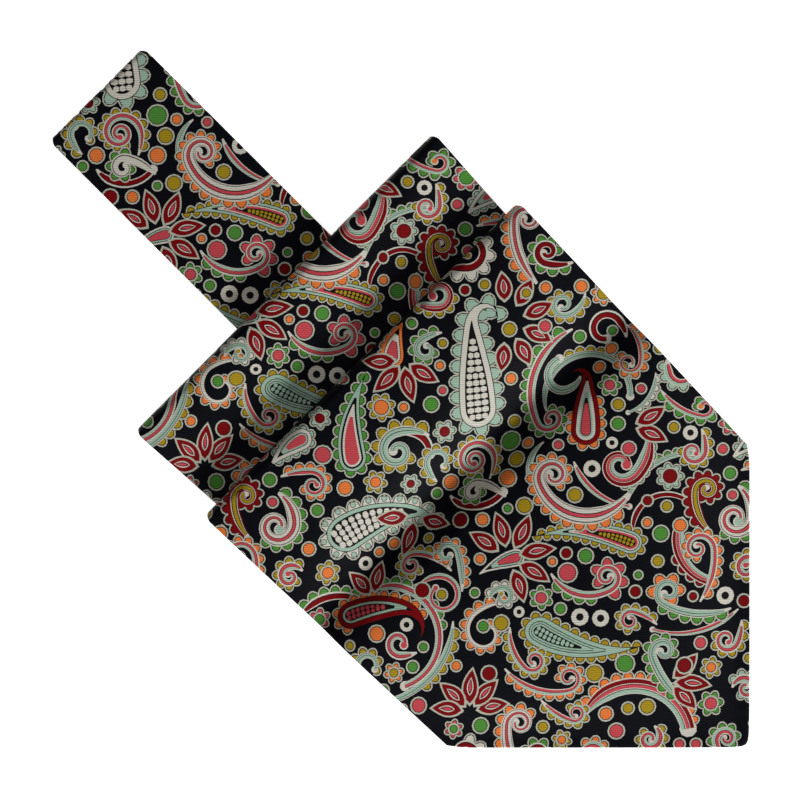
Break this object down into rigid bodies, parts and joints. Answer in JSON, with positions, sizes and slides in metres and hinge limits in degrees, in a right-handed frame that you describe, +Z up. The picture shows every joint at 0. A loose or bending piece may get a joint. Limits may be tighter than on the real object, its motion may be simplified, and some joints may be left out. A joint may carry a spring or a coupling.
{
  "type": "ascot scarf",
  "caption": "Ascot scarf folded flat: a narrow neckband runs out at the back and wide blades, turned over in soft folds, lie on it, the upper one pointed.",
  "frame": {"origin": "centre of the bounding box at its base, on the surface that the scarf lies on", "axes": "+Y from the pointed tip to the neckband's folded end, +X across the blades, +Z up"},
  "size_m": [0.1598, 0.3326, 0.015],
  "materials": {
    "printed_silk": "ribbed woven silk with a soft sheen, near-black navy with paisleys, scrolls, leaves and dots in cream, mint, green, mustard, orange, coral and dark red"
  },
  "bodies": {
    "root": {"neckband": "printed_silk", "under_blade": "printed_silk", "top_blade": "printed_silk", "hidden_layers": "printed_silk"}
  },
  "joints": []
}
